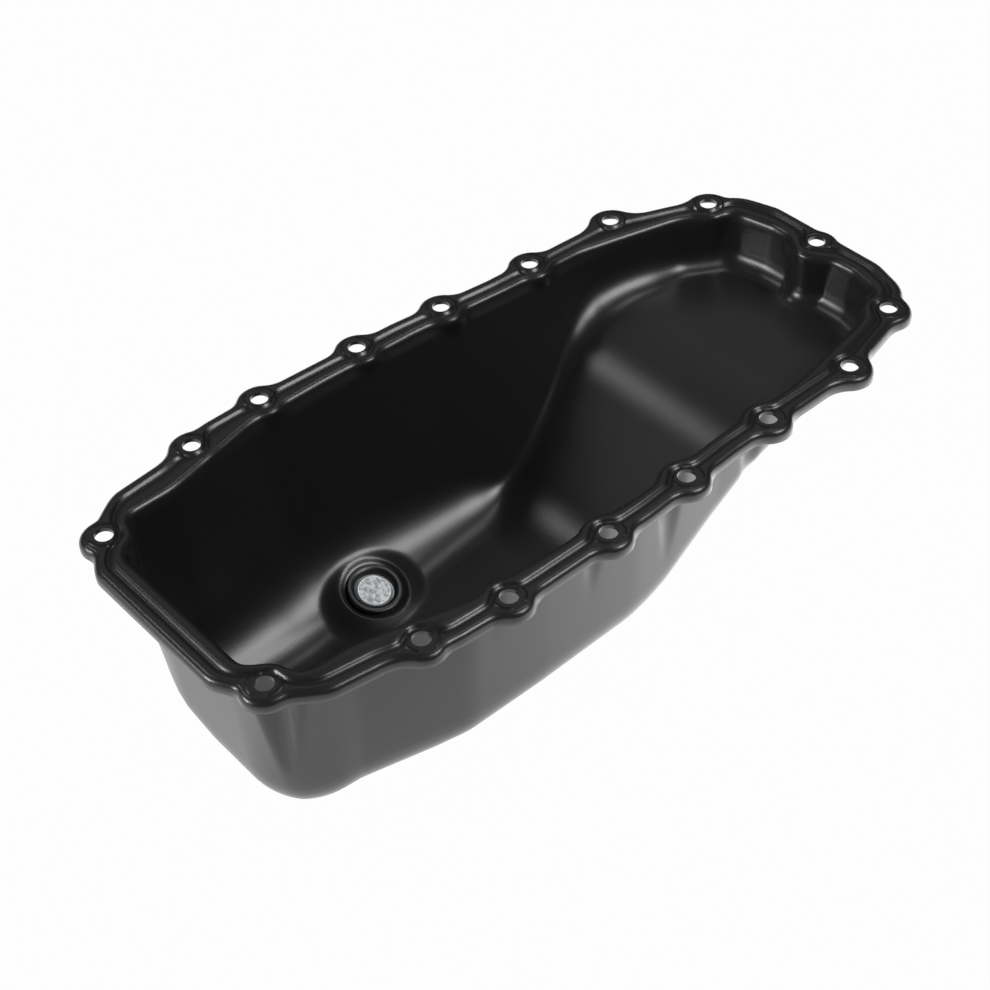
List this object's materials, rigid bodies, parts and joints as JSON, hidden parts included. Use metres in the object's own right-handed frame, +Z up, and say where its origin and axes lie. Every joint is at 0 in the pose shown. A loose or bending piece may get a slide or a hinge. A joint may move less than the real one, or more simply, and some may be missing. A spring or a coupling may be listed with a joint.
{
  "type": "engine oil pan",
  "caption": "Pressed steel engine oil pan with a deep sump, a shallow end, a scalloped bolt flange with a sealing groove, and a drain plug in a weld nut.",
  "frame": {"origin": "half-way along the bolt flange, from the deep end's pair of holes to the hole at the shallow end, on the sealing plane", "axes": "+Z up out of the pan's mouth, +X towards the shallow end, +Y towards the side that the drain plug sits on"},
  "size_m": [0.3345, 0.1642, 0.0901],
  "materials": {
    "black_coat": "satin black coating",
    "zinc": "bright zinc plate",
    "soft_metal": "plain"
  },
  "bodies": {
    "pan": {"oil_pan": "black_coat", "drain_nut": "black_coat"},
    "washer": {"drain_washer": "soft_metal"},
    "plug": {"drain_plug": "zinc"}
  },
  "joints": [
    {"name": "plug_travel", "type": "slide", "parent": "pan", "child": "washer", "axis": [0, 0.309, -0.9511], "range_m": [0, 0.0075]},
    {"name": "plug_turn", "type": "hinge", "parent": "washer", "child": "plug", "pos_m": [-0.059, 0.027, -0.078], "axis": [0, 0.309, -0.9511], "range_deg": [0, 1900]}
  ],
  "couplings": [
    {"joint": "plug_turn", "follows": "plug_travel", "rad_per_m": 4188.8}
  ]
}
